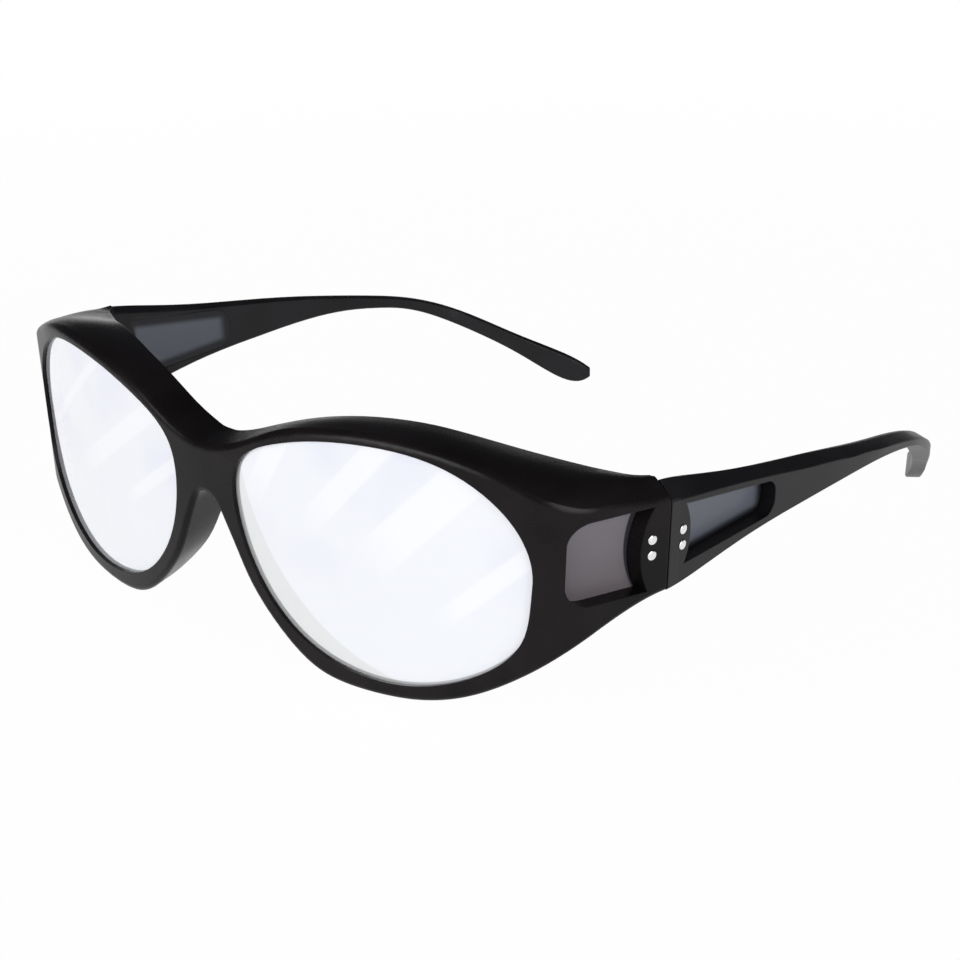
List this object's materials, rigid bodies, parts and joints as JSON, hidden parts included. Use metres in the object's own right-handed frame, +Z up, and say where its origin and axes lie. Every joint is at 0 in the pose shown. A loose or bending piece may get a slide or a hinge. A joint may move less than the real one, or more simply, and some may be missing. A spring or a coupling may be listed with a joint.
{
  "type": "fitover sunglasses",
  "caption": "Wrap-round sunglasses worn over other glasses, with a deep brow shelf, pale lenses, side windows and folding temples with windows.",
  "frame": {"origin": "on the table under the middle of the whole, with the temples open", "axes": "+X towards the wearer's left, +Y back along the open temples towards the ears, +Z up"},
  "size_m": [0.1502, 0.1534, 0.0474],
  "materials": {
    "frame": "satin black moulding",
    "lens": "clear and polished, with a faint cool tint",
    "front_pane": "grey tinted and polished",
    "temple_pane": "blue-grey tinted and polished",
    "hinge_leaf": "stamped",
    "hinge_screw": "turned",
    "rivet": "bright flat heads"
  },
  "bodies": {
    "front": {"front_frame": "frame", "left_lens": "lens", "left_side_window": "front_pane", "left_front_leaf": "hinge_leaf", "left_front_rivet_lower": "rivet", "left_front_rivet_upper": "rivet", "left_hinge_screw": "hinge_screw", "right_lens": "lens", "right_side_window": "front_pane", "right_front_leaf": "hinge_leaf", "right_front_rivet_lower": "rivet", "right_front_rivet_upper": "rivet", "right_hinge_screw": "hinge_screw"},
    "left_temple": {"left_temple": "frame", "left_temple_window": "temple_pane", "left_temple_leaf": "hinge_leaf", "left_temple_rivet_lower": "rivet", "left_temple_rivet_upper": "rivet"},
    "right_temple": {"right_temple": "frame", "right_temple_window": "temple_pane", "right_temple_leaf": "hinge_leaf", "right_temple_rivet_lower": "rivet", "right_temple_rivet_upper": "rivet"}
  },
  "joints": [
    {"name": "left_temple_fold", "type": "hinge", "parent": "front", "child": "left_temple", "pos_m": [0.0693, -0.04115, 0.02905], "axis": [0, 0, 1], "range_deg": [0, 88]},
    {"name": "right_temple_fold", "type": "hinge", "parent": "front", "child": "right_temple", "pos_m": [-0.0693, -0.04115, 0.02905], "axis": [0, 0, -1], "range_deg": [0, 81]}
  ]
}
